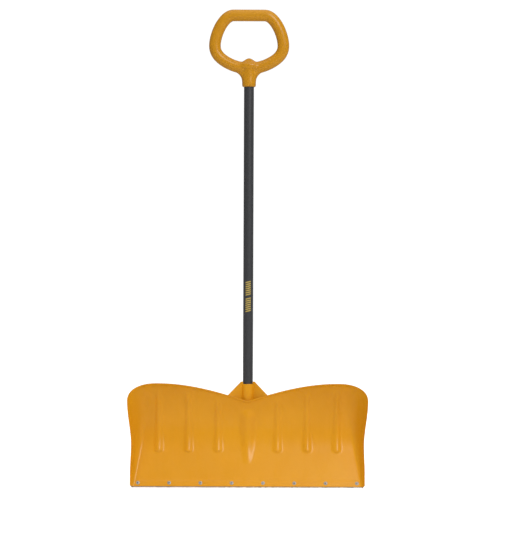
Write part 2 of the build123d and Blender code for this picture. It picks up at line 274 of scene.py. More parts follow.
def makePowderCoat():
    look = powderCoat
    material, shader = startMaterial("grey_powder_coat")
    peel = noise(material, look["peelScale"], 2.0)
    specks = noise(material, look["speckScale"], 1.0)
    speckled = spread(material, specks, 0, 1, 0.4, 0.75)
    colour = blendColours(material, speckled, look["colour"], look["paler"])
    link(material, colour, shader.inputs["Base Color"])
    low, high = look["roughness"]
    link(material, spread(material, peel, low, high), shader.inputs["Roughness"])
    link(material, bump(material, peel, 0.6, look["peelHeight"]), shader.inputs["Normal"])
    shader.inputs["Specular IOR Level"].default_value = look["specular"]
    return material


galvanised = {
    "dark": (0.50, 0.49, 0.46),
    "light": (0.74, 0.73, 0.69),
    "spangleScale": 170.0,    # zinc crystals, about 6 mm across
    "roughness": (0.34, 0.55),
    "drawnScale": 700.0,      # the fine lines of the rolled strip, along its length
    "drawnStretch": (0.04, 1.0, 1.0),
    "drawnHeight": 0.03 * mm,
    "metallic": 0.4,
}


def makeGalvanised():
    look = galvanised
    material, shader = startMaterial("galvanised_steel")
    cells = addNode(material, "ShaderNodeTexVoronoi", Scale=look["spangleScale"])
    link(material, objectPoint(material), cells.inputs["Vector"])
    tone = addNode(material, "ShaderNodeSeparateColor")
    link(material, cells.outputs["Color"], tone.inputs["Color"])
    colour = blendColours(material, tone.outputs[0], look["dark"], look["light"])
    link(material, colour, shader.inputs["Base Color"])
    low, high = look["roughness"]
    link(material, spread(material, tone.outputs[1], low, high, 0, 1), shader.inputs["Roughness"])
    drawn = noise(material, look["drawnScale"], 2.0, look["drawnStretch"])
    link(material, bump(material, drawn, 0.3, look["drawnHeight"]), shader.inputs["Normal"])
    shader.inputs["Metallic"].default_value = look["metallic"]
    return material


metals = {
    "rivet_aluminium": {"dark": (0.34, 0.33, 0.30), "light": (0.46, 0.44, 0.41),
                        "roughness": (0.42, 0.56), "scale": 900.0, "metallic": 0.4},
    "mandrel_steel": {"dark": (0.05, 0.05, 0.05), "light": (0.13, 0.125, 0.12),
                      "roughness": (0.5, 0.7), "scale": 1600.0, "metallic": 0.6},
    "zinc_steel": {"dark": (0.52, 0.53, 0.54), "light": (0.72, 0.72, 0.70),
                   "roughness": (0.22, 0.36), "scale": 600.0, "metallic": 1.0},
}


def makeMetal(name):
    look = metals[name]
    material, shader = startMaterial(name + "_finish")
    patches = noise(material, look["scale"] / 8, 3.0)
    marks = noise(material, look["scale"], 2.0, (1.0, 1.0, 0.3))
    colour = blendColours(material, spread(material, patches, 0, 1), look["dark"], look["light"])
    link(material, colour, shader.inputs["Base Color"])
    low, high = look["roughness"]
    link(material, spread(material, marks, low, high), shader.inputs["Roughness"])
    link(material, bump(material, marks, 0.4, 0.02 * mm), shader.inputs["Normal"])
    shader.inputs["Metallic"].default_value = look["metallic"]
    return material


blackPlastic = {
    "dark": (0.010, 0.010, 0.011),
    "light": (0.020, 0.020, 0.021),
    "roughness": (0.5, 0.68),
    "grainScale": 1100.0,
    "grainHeight": 0.05 * mm,
    "cloudScale": 40.0,
}


def makeBlackPlastic():
    look = blackPlastic
    material, shader = startMaterial("black_moulded_plastic")
    grain = noise(material, look["grainScale"], 3.0)
    cloud = noise(material, look["cloudScale"], 2.0)
    colour = blendColours(material, spread(material, cloud, 0, 1), look["dark"], look["light"])
    link(material, colour, shader.inputs["Base Color"])
    low, high = look["roughness"]
    link(material, spread(material, grain, low, high), shader.inputs["Roughness"])
    link(material, bump(material, grain, 0.5, look["grainHeight"]), shader.inputs["Normal"])
    return material


tickPaint = {
    "fresh": (0.56, 0.40, 0.075),
    "worn": (0.36, 0.27, 0.075),
    "roughness": (0.4, 0.55),
    "wearScale": 900.0,
}


def makeTickPaint():
    # printed ticks: worn thin in places
    look = tickPaint
    material, shader = startMaterial("tick_paint")
    worn = noise(material, look["wearScale"], 4.0)
    colour = blendColours(material, spread(material, worn, 0, 1, 0.35, 0.8), look["fresh"], look["worn"])
    link(material, colour, shader.inputs["Base Color"])
    low, high = look["roughness"]
    link(material, spread(material, worn, low, high), shader.inputs["Roughness"])
    return material


bladePlastic = makeYellowPlastic("blade_plastic", 1)
# the grip gets the blade's yellow made darker, as painted shade
gripShadedPlastic = makeYellowPlastic("grip_plastic_painted_shade", yellowPlastic["gripPaintedShade"])
print("materials made")


bladeLow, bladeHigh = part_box("blade")
blade = {
    "halfWidth": bladeHigh.x,
    "widestHeight": 220 * mm,
    "waistInset": 9.2 * mm,
    "waistHeight": 105 * mm,
    "lipInset": 7.8 * mm,
    "lipSideHeight": 40 * mm,
    "lipCorner": 5 * mm,
    "peakHeight": 264 * mm,
    "cornerRun": 75.5 * mm,
    "cornerPower": 2.3,       # 2 is an ellipse, more is fuller
    "notchHeight": 217 * mm,
    "wall": 3.2 * mm,
    "flatHeight": 88 * mm,
    "flatAngle": math.radians(24.7),
    "panRadius": 157 * mm,
    "setback": 13 * mm,       # the deepest line, ahead of the handle's axis
    "edgeRound": 0.7 * mm,
    "gridStep": 2.5 * mm,
}
wing = {
    "foot": 9 * mm,
    "spread": 0.19,
    "footReach": 6 * mm,
    "reach": 44 * mm,
    "height": 155 * mm,
    "fold": (0.5, 0.95),      # the share of its width that bends: at its foot, and higher up
}
rim = {"rise": 1.5 * mm, "start": 3.3 * mm, "end": 5.5 * mm}
ribs = {
    "pitch": 75.8 * mm,
    "perSide": 3,
    "topRise": 3.0 * mm,
    "toeRise": 5.0 * mm,
    "topWidth": 18 * mm,
    "toeWidth": 30 * mm,
    "toeHeight": 84 * mm,
    "toeLength": 9 * mm,
    "topGap": 8 * mm,
    "fade": 28 * mm,
}
bulge = {                     # over the nose of the tube's socket
    "rise": 8 * mm,
    "width": 48 * mm,
    "footWidth": 22 * mm,
    "crest": 172 * mm,
    "top": 196 * mm,
    "topPower": 1.5,          # how softly it ends there
    "foot": 57 * mm,
}
land = {                      # where the strip is riveted
    "height": 18.4 * mm,
    "step": 0.3 * mm,
    "edge": 1.0 * mm,
    "fade": 26 * mm,
}
sheetLayout = {               # where the sheet's mesh lines run, inward from its edge
    "edgeGaps": (0.0, 0.1 * mm, 0.35 * mm, blade["edgeRound"]),
    "rimGaps": (1.8, 3.3, 3.85, 4.4, 4.95, 5.5, 7.0),  # in millimetres
    "lipClear": 1.4 * mm,
    "tailStep": 1.2 * mm,
    "creaseInset": 9.5 * mm,
    "creases": (-0.5, -0.2, 0.2, 0.5),                 # in millimetres, about the land's height
    "firstRow": 2.2 * mm,
    "creaseClear": 1.0 * mm,
    "topClear": 3 * mm,
    "sideClear": 7 * mm,
    "gridClear": 8.4 * mm,
}

lipHalf = blade["halfWidth"] - blade["lipInset"]
peakSide = blade["halfWidth"] - blade["cornerRun"]
topRise = blade["peakHeight"] - blade["notchHeight"]
panCentre = blade["flatHeight"] + blade["panRadius"] * math.sin(blade["flatAngle"])
flatTopReach = blade["setback"] + blade["panRadius"] * (1 - math.cos(blade["flatAngle"]))
lipReach = flatTopReach + blade["flatHeight"] * math.tan(blade["flatAngle"])


def sectionReach(z):
    flat = lipReach - z * math.tan(blade["flatAngle"])
    rise = (z - panCentre) / blade["panRadius"]
    curved = blade["setback"] + blade["panRadius"] * (1 - np.sqrt(np.maximum(1 - rise * rise, 0)))
    return np.where(z < blade["flatHeight"], flat, curved)


def topEdge(x):
    return blade["notchHeight"] + topRise * np.sin(math.pi / 2 * np.minimum(np.abs(x) / peakSide, 1))


def wingReach(x, z):
    width = wing["foot"] + wing["spread"] * np.maximum(z, 0)
    across = np.maximum((np.abs(x) - lipHalf + width) / width, 0)
    swell = np.sin(math.pi / 2 * np.clip(z / wing["height"], 0, 2))
    reach = wing["footReach"] + (wing["reach"] - wing["footReach"]) * swell
    tight, loose = wing["fold"]
    fold = tight + (loose - tight) * smoothStep(z / wing["height"])
    scale = 1 - fold / 2
    bent = reach * across * across / (2 * fold * scale)
    straight = reach * (across - fold / 2) / scale
    return np.where(across < fold, bent, straight)


def ribRise(x, z):
    belowTop = np.maximum(topEdge(x) - ribs["topGap"] - z, 0)
    along = np.clip(belowTop / (topEdge(x) - ribs["topGap"] - ribs["toeHeight"]), 0, 1)
    rise = ribs["topRise"] + (ribs["toeRise"] - ribs["topRise"]) * along
    rise = rise * smoothStep(belowTop / ribs["fade"])
    width = ribs["topWidth"] + (ribs["toeWidth"] - ribs["topWidth"]) * along
    number = np.clip(np.round(np.abs(x) / ribs["pitch"]), 1, ribs["perSide"])
    across = (np.abs(x) - number * ribs["pitch"]) / (width / 2)
    below = np.maximum(ribs["toeHeight"] + ribs["toeLength"] - z, 0) / ribs["toeLength"]
    return rise * np.maximum(1 - across * across - below * below, 0) ** 2


def bulgeRise(x, z):
    above = np.clip((z - bulge["crest"]) / (bulge["top"] - bulge["crest"]), 0, 1)
    fall = np.clip((bulge["crest"] - z) / (bulge["crest"] - bulge["foot"]), 0, 1)
    rise = np.where(z > bulge["crest"], (1 - above * above) ** bulge["topPower"], np.cos(math.pi / 2 * fall))
    width = bulge["width"] + (bulge["footWidth"] - bulge["width"]) * fall * fall
    across = x / (width / 2)
    return bulge["rise"] * rise * np.maximum(1 - across * across, 0) ** 2


def sheetReach(x, z):
    return sectionReach(z) + wingReach(x, z) + ribRise(x, z)


def frontReach(x, z):
    dip = smoothStep((z - land["height"]) / land["edge"] + 0.5)
    dip = dip * (1 - smoothStep((z - land["height"]) / land["fade"]))
    return sheetReach(x, z) + bulgeRise(x, z) - land["step"] * dip


def backReach(x, z):
    step = 0.5 * mm
    slopeX = (sheetReach(x + step, z) - sheetReach(x - step, z)) / (2 * step)
    slopeZ = (sheetReach(x, z + step) - sheetReach(x, z - step)) / (2 * step)
    return sheetReach(x, z) - blade["wall"] * np.sqrt(1 + slopeX**2 + slopeZ**2)


def evenly(points, step):
    # the same line with points a step apart
    points = np.array(points)
    run = np.concatenate([[0], np.cumsum(np.hypot(*np.diff(points, axis=0).T))])
    count = max(2, round(run[-1] / step) + 1)
    places = np.linspace(0, run[-1], count)
    return np.stack([np.interp(places, run, points[:, i]) for i in (0, 1)], axis=1)


def rightHalf():
    # from the notch out to the lip's corner, then the corner, then the lip's middle
    step = blade["gridStep"]
    x = np.linspace(0, peakSide, 200)
    top = np.stack([x, topEdge(x)], axis=1)
    turn = np.linspace(math.pi / 2, 0, 200)
    power = 2 / blade["cornerPower"]
    drop = blade["peakHeight"] - blade["widestHeight"]
    cornerX = peakSide + blade["cornerRun"] * np.clip(np.cos(turn), 0, 1) ** power
    cornerZ = blade["widestHeight"] + drop * np.clip(np.sin(turn), 0, 1) ** power
    corner = np.stack([cornerX, cornerZ], axis=1)
    z = np.linspace(blade["widestHeight"], blade["waistHeight"], 120)
    share = smoothStep((blade["widestHeight"] - z) / (blade["widestHeight"] - blade["waistHeight"]))
    waist = np.stack([blade["halfWidth"] - blade["waistInset"] * share, z], axis=1)
    z = np.linspace(blade["waistHeight"], blade["lipSideHeight"], 60)
    share = smoothStep((blade["waistHeight"] - z) / (blade["waistHeight"] - blade["lipSideHeight"]))
    inset = blade["waistInset"] + (blade["lipInset"] - blade["waistInset"]) * share
    foot = np.stack([blade["halfWidth"] - inset, z], axis=1)
    filletTop = (lipHalf, bladeLow.z + blade["lipCorner"])
    side = evenly(np.concatenate([top, corner[1:], waist[1:], foot[1:], [filletTop]]), step)
    turn = np.linspace(0, math.pi / 2, 10)
    fillet = np.stack([lipHalf - blade["lipCorner"] * (1 - np.cos(turn)),
                       filletTop[1] - blade["lipCorner"] * np.sin(turn)], axis=1)
    lip = evenly([fillet[-1], (0, bladeLow.z)], step)
    return side, fillet[1:], lip[1:]


def inward(points):
    # unit normals to the right of the way the line runs; the line is closed
    along = np.roll(points, -1, axis=0) - np.roll(points, 1, axis=0)
    along /= np.hypot(along[:, 0], along[:, 1])[:, None]
    return np.stack([along[:, 1], -along[:, 0]], axis=1)


def insideLine(points, line):
    # which points lie inside a closed line
    inside = np.zeros(len(points), bool)
    for (x1, z1), (x2, z2) in zip(line, np.roll(line, -1, axis=0)):
        if z1 != z2:
            level = (z1 > points[:, 1]) != (z2 > points[:, 1])
            crossing = x1 + (points[:, 1] - z1) * (x2 - x1) / (z2 - z1)
            inside ^= level & (points[:, 0] < crossing)
    return inside


def bladeSheet():
    side, fillet, lip = rightHalf()
    right = np.concatenate([side, fillet, lip])
    left = right[1:-1][::-1] * (-1, 1)
    outline = np.concatenate([right, left])
    normals = inward(outline)
    sideCount = len(side)
    leftSide = np.arange(len(outline) - sideCount + 1, len(outline))
    path = np.concatenate([leftSide, np.arange(sideCount)])  # up the left, over the top, down the right

    points, edges, toEdge, toRim = [], [], [], []

    def addLine(line, edgeGap, rimGap, closed=False):
        first = len(points)
        points.extend(line.tolist())
        count = len(line)
        toEdge.extend([edgeGap] * count)
        toRim.extend(np.broadcast_to(rimGap, count).tolist())
        edges.extend((first + i, first + i + 1) for i in range(count - 1))
        if closed:
            edges.append((first + count - 1, first))

    onSide = np.zeros(len(outline), bool)
    onSide[path] = True
    for gap in sheetLayout["edgeGaps"]:
        ring = outline + normals * gap
        beside = lipHalf - np.abs(ring[:, 0])
        addLine(ring, gap, np.where(onSide, gap, np.maximum(beside, gap)), closed=True)
    border = list(range(len(outline)))[::-1]

    far = 1.0
    lipClear = bladeLow.z + sheetLayout["lipClear"]
    for gap in sheetLayout["rimGaps"]:
        line = outline[path] + normals[path] * gap * mm
        tail = evenly([line[-1], (line[-1][0], lipClear)], sheetLayout["tailStep"])[1:]
        line = np.concatenate([tail[::-1] * (-1, 1), line, tail])
        addLine(line, far, gap * mm)

    inner = lipHalf - sheetLayout["creaseInset"]
    creases = [land["height"] + offset * mm for offset in sheetLayout["creases"]]
    for z in creases:
        x = np.linspace(-inner, inner, round(2 * inner / blade["gridStep"]))
        addLine(np.stack([x, np.full_like(x, z)], axis=1), far, far)

    # the plain grid between those lines
    step = blade["gridStep"]
    rowStep = step * math.sqrt(3) / 2
    edgeLine = outline[path]
    for row in range(int((blade["peakHeight"] - bladeLow.z) / rowStep)):
        z = bladeLow.z + sheetLayout["firstRow"] + row * rowStep
        if min(abs(z - crease) for crease in creases) < sheetLayout["creaseClear"]:
            continue
        x = np.arange(-blade["halfWidth"], blade["halfWidth"], step) + (row % 2) * step / 2
        x = x[z < topEdge(x) - sheetLayout["topClear"]]
        gaps = np.hypot(x[:, None] - edgeLine[:, 0], z - edgeLine[:, 1]).min(axis=1)
        beside = np.where(z < bladeLow.z + blade["lipCorner"], lipHalf - np.abs(x), gaps)
        within = np.abs(x) < blade["halfWidth"] - sheetLayout["sideClear"]
        overCorner = (np.abs(x) > peakSide) & (z > blade["widestHeight"])
        reachOut = np.abs((np.abs(x) - peakSide) / blade["cornerRun"]) ** blade["cornerPower"]
        reachUp = max(z - blade["widestHeight"], 0) / (blade["peakHeight"] - blade["widestHeight"])
        inCorner = reachOut + reachUp ** blade["cornerPower"] < 1
        x = x[(beside > sheetLayout["gridClear"]) & within & (~overCorner | inCorner)]
        if z < blade["waistHeight"]:
            x = x[np.abs(x) < lipHalf - sheetLayout["gridClear"]]
        points.extend([a, z] for a in x.tolist())
        toEdge.extend([far] * len(x))
        toRim.extend([far] * len(x))

    flat = [Vector(p) for p in points]
    verts, _, triangles, sources, _, _ = geometry.delaunay_2d_cdt(flat, edges, [border], 1, 1e-8, True)
    x = np.array([v[0] for v in verts])
    z = np.array([v[1] for v in verts])
    corners = np.array([list(t) for t in triangles])
    middles = np.stack([x[corners].mean(axis=1), z[corners].mean(axis=1)], axis=1)
    triangles = corners[insideLine(middles, outline)].tolist()
    edgeGap = np.array([toEdge[s[0]] if s else far for s in sources])
    rimGap = np.array([toRim[s[0]] if s else far for s in sources])

    inside = np.clip(1 - edgeGap / blade["edgeRound"], 0, 1)
    rounding = blade["edgeRound"] * (1 - np.sqrt(1 - inside**2))
    raised = rim["rise"] * (1 - smoothStep((rimGap - rim["start"]) / (rim["end"] - rim["start"])))
    front = frontReach(x, z) + raised - rounding
    back = backReach(x, z) + rounding
    count = len(x)
    coords = np.concatenate([np.stack([x, axisY - front, z], 1), np.stack([x, axisY - back, z], 1)])
    faces = [tuple(t) for t in triangles]
    used = {(t[i], t[(i + 1) % 3]) for t in faces for i in range(3)}
    walls = [(b, a, a + count, b + count) for a, b in used if (b, a) not in used]
    faces += [tuple(i + count for i in reversed(t)) for t in faces] + sorted(walls)
    print("blade sheet:", 2 * count, "points")
    return newObject("blade_moulding", coords, faces)


socket = {
    "wall": 5 * mm,
    "foot": 78 * mm,
    "floor": 4 * mm,
    "mouth": 260 * mm,
    "lipRound": 1.2 * mm,
    "webWall": 3 * mm,
    "webTop": 266 * mm,
    "webInset": 16.8 * mm,
    "webFoot": 110 * mm,
    "webRoot": (13 * mm, 8.5 * mm),
    "webTip": (52 * mm, 37.5 * mm),
    "bossRadius": 8 * mm,
    "bossReach": 21 * mm,
    "bossRound": 0.8 * mm,
    "boltHeight": 118 * mm,
    "boltHole": 3.2 * mm,
}
panCut = {                    # trims the webs back to the pan's face
    "halfWidth": 70 * mm,
    "low": 90 * mm,
    "high": 290 * mm,
    "columns": 57,
    "rows": 81,
    "sink": 0.6 * mm,         # how far the webs reach into the pan's wall
    "reach": 200 * mm,
}


def panCutter():
    # everything ahead of the pan's face, near the socket
    columns = np.linspace(-panCut["halfWidth"], panCut["halfWidth"], panCut["columns"])
    rows = np.linspace(panCut["low"], panCut["high"], panCut["rows"])
    x, z = (a.ravel() for a in np.meshgrid(columns, rows))
    near = axisY - (frontReach(x, z) - panCut["sink"])
    count = len(x)
    far = np.full(count, axisY - panCut["reach"])
    verts = np.concatenate([np.stack([x, near, z], 1), np.stack([x, far, z], 1)])
    wide = len(columns)
    faces = []
    for row in range(len(rows) - 1):
        for column in range(wide - 1):
            a = row * wide + column
            faces.append((a, a + wide, a + wide + 1, a + 1))
    faces += [tuple(i + count for i in reversed(f)) for f in faces]
    used = {(f[i], f[(i + 1) % 4]) for f in faces[: len(faces) // 2] for i in range(4)}
    faces += [(b, a, a + count, b + count) for a, b in sorted(used) if (b, a) not in used]
    made = newObject("pan_cutter", verts, faces)
    tidyNormals(made)
    return made


def socketWeb(side):
    rootX, rootReach = socket["webRoot"]
    tipX, tipReach = socket["webTip"]
    run = Vector((side * (tipX - rootX), -(tipReach - rootReach), 0))
    along = run.normalized()
    share = (socket["webInset"] - rootX) / (tipX - rootX)
    slopeStart = run.length * share
    slopeDrop = (tipX - socket["webInset"])
    outline = [
        (0, socket["webFoot"]),
        (run.length, socket["webFoot"]),
        (run.length, socket["webTop"] - slopeDrop),
        (slopeStart, socket["webTop"]),
        (0, socket["webTop"]),
    ]
    place = Matrix.Identity(4)
    place.col[0] = (*along, 0)
    place.col[1] = (0, 0, 1, 0)
    place.col[2] = (*along.cross(Vector((0, 0, 1))), 0)
    place.col[3] = (side * rootX, axisY - rootReach, 0, 1)
    half = socket["webWall"] / 2
    return prism("web", outline, -half, half, place)


def onAxis(thing, turn=None, height=0.0):
    move = Matrix.Translation((0, axisY, height))
    thing.data.transform(move @ turn if turn else move)
    return thing


def makeBlade():
    boreRadius = tubeRadius + nearMiss
    moulding = bladeSheet()
    for side in (-1, 1):
        web = socketWeb(side)
        combine(web, panCutter(), "DIFFERENCE")
        combine(moulding, web, "UNION")
    outside = boreRadius + socket["wall"]
    body = roundedRod("socket", outside, socket["foot"], socket["mouth"], socket["lipRound"])
    combine(moulding, onAxis(body), "UNION")
    alongX = Matrix.Rotation(math.pi / 2, 4, "Y")
    reach = socket["bossReach"]
    boss = roundedRod("boss", socket["bossRadius"], -reach, reach, socket["bossRound"], 48)
    combine(moulding, onAxis(boss, alongX, socket["boltHeight"]), "UNION")
    bore = plainRod("bore", boreRadius, socket["foot"] + socket["floor"], openEnd, 96)
    combine(moulding, onAxis(bore), "DIFFERENCE")
    boltHole = plainRod("bolt_hole", socket["boltHole"], -throughCut, throughCut, 32)
    combine(moulding, onAxis(boltHole, alongX, socket["boltHeight"]), "DIFFERENCE")
    finishMesh(moulding, 38)
    moulding.data.materials.clear()
    moulding.data.materials.append(bladePlastic)
    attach(moulding, "root")
    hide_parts("blade")
    print("blade:", len(moulding.data.polygons), "faces")


makeBlade()


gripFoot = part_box("grip")[0].z
grip = {
    "barWidth": 30 * mm,
    "barDepth": 26 * mm,
    "barHeight": 184 * mm,
    "halfBar": 40 * mm,
    "halfWidth": 87.9 * mm,
    "wideHeight": 106 * mm,
    "armHalf": 56.2 * mm,
    "armHeight": 62.7 * mm,
    "armSlope": math.radians(29.4),
    "rootHeight": 48 * mm,
    "shoulderPull": (0.53, 0.38),
    "heelPull": 0.49,
    "armPull": 0.35,
    "socketWall": 5 * mm,
    "bossWall": 4 * mm,
    "boreDepth": 58 * mm,
    "domeTop": 73.8 * mm,
    "domeHeight": 14 * mm,
    "lipRound": 1.5 * mm,
    "flareFoot": 10 * mm,
    "flareHeight": 31 * mm,
    "flareSpread": 21 * mm,
    "flareThinning": 7 * mm,
    "flareCurve": 2.8,        # how late it widens
    "screwHeight": 25 * mm,
    "screwSeat": 4.6 * mm,
    "screwHole": 2.15 * mm,
    "seatDepth": 1 * mm,
    "voxel": 1.2 * mm,
    "softening": 40,
    "jointSoftening": 20,
    "swell": 0.42 * mm,       # what the softening takes off again
    "ringGap": 2.5 * mm,
    "fineGap": 0.2 * mm,
    "mouthClear": 6 * mm,     # the socket's mouth keeps its rounded rim
    "mouthFade": 14 * mm,
    "loopStart": 0.9,         # in joint zones from the root
    "loopFade": 0.55,
    "loopReach": 1.3,         # in half sections from the loop's centreline
    "loopEdge": 0.15,
    "jointZone": (52 * mm, 34 * mm),  # half width and half height, round the root
    "domeSpare": 1 * mm,      # the softening takes this off its top
    "bossSink": 4 * mm,       # how far the boss reaches up into the dome
    "bossRound": 6 * mm,
    "domeHalf": 30 * mm,
    "domeFlat": 0.6,          # front to back, as a share of its width
}


def bezier(a, b, c, d, count=200):
    t = np.linspace(0, 1, count)[:, None]
    a, b, c, d = (np.array(p) for p in (a, b, c, d))
    return a * (1 - t) ** 3 + 3 * b * t * (1 - t) ** 2 + 3 * c * t * t * (1 - t) + d * t**3


def gripLine(step):
    # the whole loop's centreline: x, and height above the grip's mouth
    barEnd = (grip["halfBar"], grip["barHeight"])
    widest = (grip["halfWidth"], grip["wideHeight"])
    arm = (grip["armHalf"], grip["armHeight"])
    shoulderRun = grip["halfWidth"] - grip["halfBar"]
    shoulderDrop = grip["barHeight"] - grip["wideHeight"]
    heelDrop = grip["wideHeight"] - grip["armHeight"]
    pull = grip["armPull"] * grip["armHalf"]
    pullX, pullZ = pull * math.cos(grip["armSlope"]), pull * math.sin(grip["armSlope"])
    outPull, upPull = grip["shoulderPull"]
    pieces = [
        np.linspace((0, grip["barHeight"]), barEnd, 16),
        bezier(barEnd, (grip["halfBar"] + outPull * shoulderRun, grip["barHeight"]),
               (grip["halfWidth"], grip["wideHeight"] + upPull * shoulderDrop), widest),
        bezier(widest, (grip["halfWidth"], grip["wideHeight"] - grip["heelPull"] * heelDrop),
               (arm[0] + pullX, arm[1] + pullZ), arm),
        bezier(arm, (arm[0] - pullX, arm[1] - pullZ), (pull, grip["rootHeight"]), (0, grip["rootHeight"])),
    ]
    half = evenly(np.concatenate([pieces[0]] + [p[1:] for p in pieces[1:]]), step)
    return np.concatenate([half, half[1:-1][::-1] * (-1, 1)])


def gripLoop():
    line = gripLine(grip["ringGap"])
    normals = inward(line)
    around = 48
    verts, faces = [], []
    for (x, z), (nx, nz) in zip(line, normals):
        for step in range(around):
            angle = 2 * math.pi * step / around
            out = (grip["barWidth"] / 2 + grip["swell"]) * math.cos(angle)
            depth = (grip["barDepth"] / 2 + grip["swell"]) * math.sin(angle)
            verts.append((x + nx * out, depth, z + nz * out))
    for ring in range(len(line)):
        after = (ring + 1) % len(line)
        for step in range(around):
            side = (step + 1) % around
            low, high = ring * around, after * around
            faces.append((low + step, low + side, high + side, high + step))
    made = newObject("loop", verts, faces)
    tidyNormals(made)
    return made


def gripFlare():
    boreRadius = tubeRadius + nearMiss
    radius = boreRadius + grip["socketWall"]
    around, steps = 72, 14
    rings = []
    for step in range(5):  # the mouth's rounded rim
        turn = math.pi / 2 * step / 4
        inset = grip["lipRound"] * (1 - math.sin(turn))
        rings.append((grip["lipRound"] * (1 - math.cos(turn)), radius - inset, radius - inset))
    for step in range(steps + 1):
        share = step / steps
        wide = radius + grip["flareSpread"] * share ** grip["flareCurve"]
        deep = radius - grip["flareThinning"] * share**2
        rings.append((grip["flareFoot"] + grip["flareHeight"] * share, wide, deep))
    verts, faces = [], []
    for height, wide, deep in rings:
        for step in range(around):
            angle = 2 * math.pi * step / around
            verts.append((wide * math.cos(angle), deep * math.sin(angle), height))
    for ring in range(len(rings) - 1):
        for step in range(around):
            side = (step + 1) % around
            low, high = ring * around, (ring + 1) * around
            faces.append((low + step, low + side, high + side, high + step))
    faces.append(tuple(range(around))[::-1])
    faces.append(tuple(range((len(rings) - 1) * around, len(rings) * around)))
    made = newObject("flare", verts, faces)
    tidyNormals(made)
    return made


def gripBoss():
    radius = tubeRadius + nearMiss + grip["bossWall"]
    domeFoot = grip["domeTop"] - grip["domeHeight"]
    return roundedRod("boss", radius, grip["flareFoot"], domeFoot + grip["bossSink"], grip["bossRound"], 72)


def gripDome():
    # a soft bell between the arms, wide and shallow
    foot = grip["rootHeight"]
    domeFoot = grip["domeTop"] - grip["domeHeight"]
    profile = [(0, foot), (grip["domeHalf"], foot), (grip["domeHalf"], domeFoot)]
    for step in range(1, 16):
        share = step / 16
        lift = (grip["domeHeight"] + grip["domeSpare"]) * smoothStep(share)
        profile.append((grip["domeHalf"] * (1 - share), domeFoot + lift))
    profile.append((0, grip["domeTop"] + grip["domeSpare"]))
    made = turnedSolid("dome", profile, 72)
    made.data.transform(Matrix.Diagonal((1, grip["domeFlat"], 1, 1)))
    return made


def joinAll(things):
    whole = bmesh.new()
    for thing in things:
        whole.from_mesh(thing.data)
    things[0].data.clear_geometry()
    whole.to_mesh(things[0].data)
    whole.free()
    for thing in things[1:]:
        bpy.data.objects.remove(thing)
    return things[0]


def fromJoint(point):
    # 0 where the arms meet the socket, 1 at the edge of that zone
    wide, high = grip["jointZone"]
    return math.hypot(point.x / wide, (point.z - grip["rootHeight"]) / high)


def trueLoop(moulding):
    # away from the socket, every point goes back onto the loop's own oval section
    line = gripLine(grip["fineGap"])
    tree = KDTree(len(line))
    for number, (x, z) in enumerate(line):
        tree.insert((x, 0, z), number)
    tree.balance()
    for vertex in moulding.data.vertices:
        point = vertex.co
        foot = tree.find((point.x, 0, point.z))[0]
        out = Vector((point.x - foot.x, 0, point.z - foot.z))
        size = math.hypot(2 * out.length / grip["barWidth"], 2 * point.y / grip["barDepth"])
        true = foot + Vector((out.x, point.y, out.z)) / size
        pastJoint = smoothStep((fromJoint(point) - grip["loopStart"]) / grip["loopFade"])
        onLoop = smoothStep((grip["loopReach"] - size) / grip["loopEdge"])
        vertex.co = point.lerp(true, float(pastJoint * onLoop))


def makeGrip():
    moulding = joinAll([gripLoop(), gripFlare(), gripBoss(), gripDome()])
    moulding.name = "grip_moulding"
    melt = moulding.modifiers.new("melt", "REMESH")
    melt.mode = "VOXEL"
    melt.voxel_size = grip["voxel"]
    bake(moulding)
    # the joint between arms and socket is softened more than the rest
    joint = moulding.vertex_groups.new(name="joint")
    for vertex in moulding.data.vertices:
        near = fromJoint(vertex.co)
        aboveMouth = smoothStep((vertex.co.z - grip["mouthClear"]) / grip["mouthFade"])
        weight = float(smoothStep(1.5 - near)) * float(aboveMouth)
        if weight > 0:
            joint.add([vertex.index], weight, "REPLACE")
    soften = moulding.modifiers.new("soften", "SMOOTH")
    soften.factor = 0.5
    soften.iterations = grip["softening"]
    ease = moulding.modifiers.new("ease", "SMOOTH")
    ease.factor = 0.5
    ease.iterations = grip["jointSoftening"]
    ease.vertex_group = "joint"
    bake(moulding)
    moulding.vertex_groups.clear()
    trueLoop(moulding)
    bore = plainRod("bore", tubeRadius + nearMiss, -10 * mm, grip["boreDepth"], 96)
    combine(moulding, bore, "DIFFERENCE")
    alongY = Matrix.Rotation(-math.pi / 2, 4, "X")
    seatStart = tubeRadius + nearMiss + grip["socketWall"] - grip["seatDepth"]
    for radius, start in ((grip["screwSeat"], seatStart), (grip["screwHole"], 0)):
        hole = plainRod("hole", radius, start, throughCut, 40)
        hole.data.transform(Matrix.Translation((0, 0, grip["screwHeight"])) @ alongY)
        combine(moulding, hole, "DIFFERENCE")
    moulding.data.transform(Matrix.Translation((0, axisY, gripFoot)))
    finishMesh(moulding, 42)
    moulding.data.materials.clear()
    moulding.data.materials.append(gripShadedPlastic)
    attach(moulding, "root")
    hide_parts("grip")
    print("grip:", len(moulding.data.polygons), "faces")


makeGrip()


ticks = {
    "low": 447 * mm,
    "high": 521 * mm,
    "count": 15,
    "skip": 7,                # the gap in the middle
    "height": 2.9 * mm,
    "halfAngle": math.radians(31),
    "slant": 1.6 * mm,
    "film": 0.05 * mm,
}


